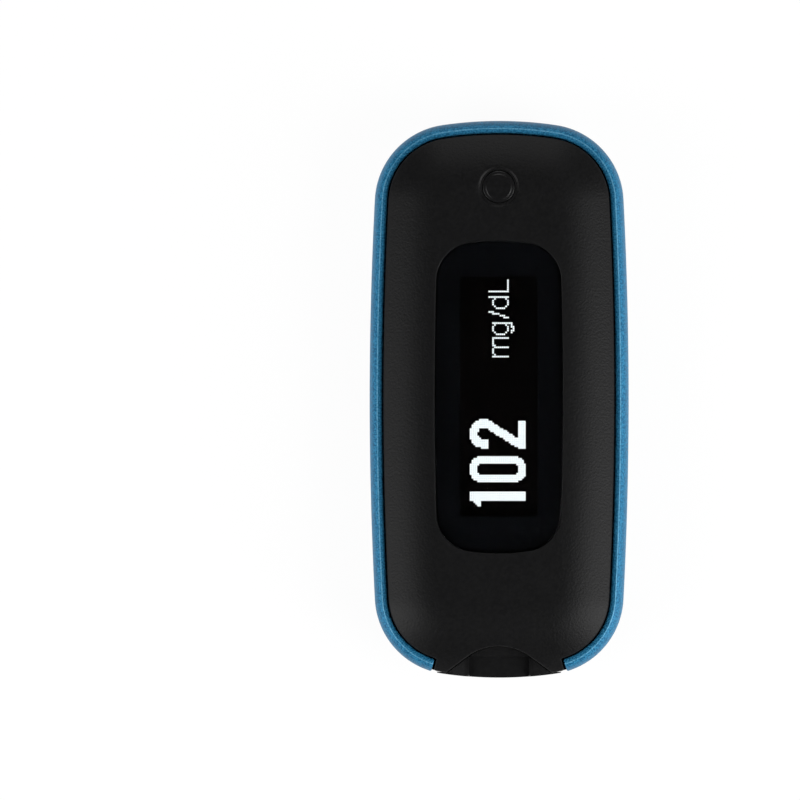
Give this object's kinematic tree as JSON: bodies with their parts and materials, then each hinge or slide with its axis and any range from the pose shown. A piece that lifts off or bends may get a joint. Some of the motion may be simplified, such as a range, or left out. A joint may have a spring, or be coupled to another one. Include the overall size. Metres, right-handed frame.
{
  "type": "blood glucose meter",
  "caption": "Pocket blood glucose meter: black case in a blue metallic side band, long screen under a dark window, round push button, test strip port and slide-off battery door.",
  "frame": {"origin": "middle of the flat rear face, under the centre of the case's outline", "axes": "+Z out of the screen side, +Y towards the button end, -Y towards the strip port, +X to the right seen from the screen side"},
  "size_m": [0.04, 0.086, 0.0155],
  "materials": {
    "cover_black": "soft-touch black with a fine leather-like grain",
    "case_black": "finely sparked black",
    "band_metallic": "satin blue metallic lacquer with fine flake",
    "window_glass": "smoked acrylic, polished",
    "adhesive_black": "black foam tape",
    "button_black": "satin black with a shallow dish",
    "guide_black": "satin black",
    "gasket_rubber": "matt black",
    "display_glass": "dark panel glass, with pale lit digits",
    "flex_film": "amber film with copper tracks",
    "holder_white": "moulded, off-white",
    "board_green": "green solder mask with tracks",
    "switch_grey": "moulded, dark grey",
    "switch_black": "moulded, black",
    "connector_ivory": "moulded, ivory",
    "contact_gold": "gold flash on a spring alloy",
    "chip_black": "moulded chip package",
    "can_metal": "drawn can, satin",
    "capacitor_tan": "fired ceramic",
    "resistor_black": "glazed, with tinned ends",
    "buzzer_black": "moulded, black",
    "cell_steel": "plated steel, satin",
    "spring_brass": "spring brass strip",
    "clip_steel": "plated spring steel",
    "screw_steel": "zinc plated, cross recess"
  },
  "bodies": {
    "case": {"front_cover": "cover_black", "rear_cover": "case_black", "side_band": "band_metallic", "display_window": "window_glass", "window_tape": "adhesive_black", "strip_guide": "guide_black", "display_gasket": "gasket_rubber", "display_panel": "display_glass", "panel_flex": "flex_film", "display_holder": "holder_white", "main_board": "board_green", "tact_switch": "switch_grey", "strip_connector": "connector_ivory", "strip_contacts": "contact_gold", "flex_connector": "connector_ivory", "microcontroller": "chip_black", "sensor_chip": "chip_black", "memory_chip": "chip_black", "clock_crystal": "can_metal", "capacitors": "capacitor_tan", "resistors": "resistor_black", "buzzer": "buzzer_black", "coin_cell_port_end": "cell_steel", "coin_cell_button_end": "cell_steel", "negative_springs": "spring_brass", "positive_clips": "clip_steel", "case_screws": "screw_steel", "board_screws": "screw_steel"},
    "button": {"power_button": "button_black", "switch_plunger": "switch_black"},
    "door": {"battery_door": "case_black"}
  },
  "joints": [
    {"name": "button_press", "type": "slide", "parent": "case", "child": "button", "axis": [0, 0, -1], "range_m": [0, 0.00035], "stiffness_N_per_m": 400, "springref_m": -0.003},
    {"name": "door_slide", "type": "slide", "parent": "case", "child": "door", "axis": [0, 1, 0], "range_m": [0, 0.04]}
  ]
}
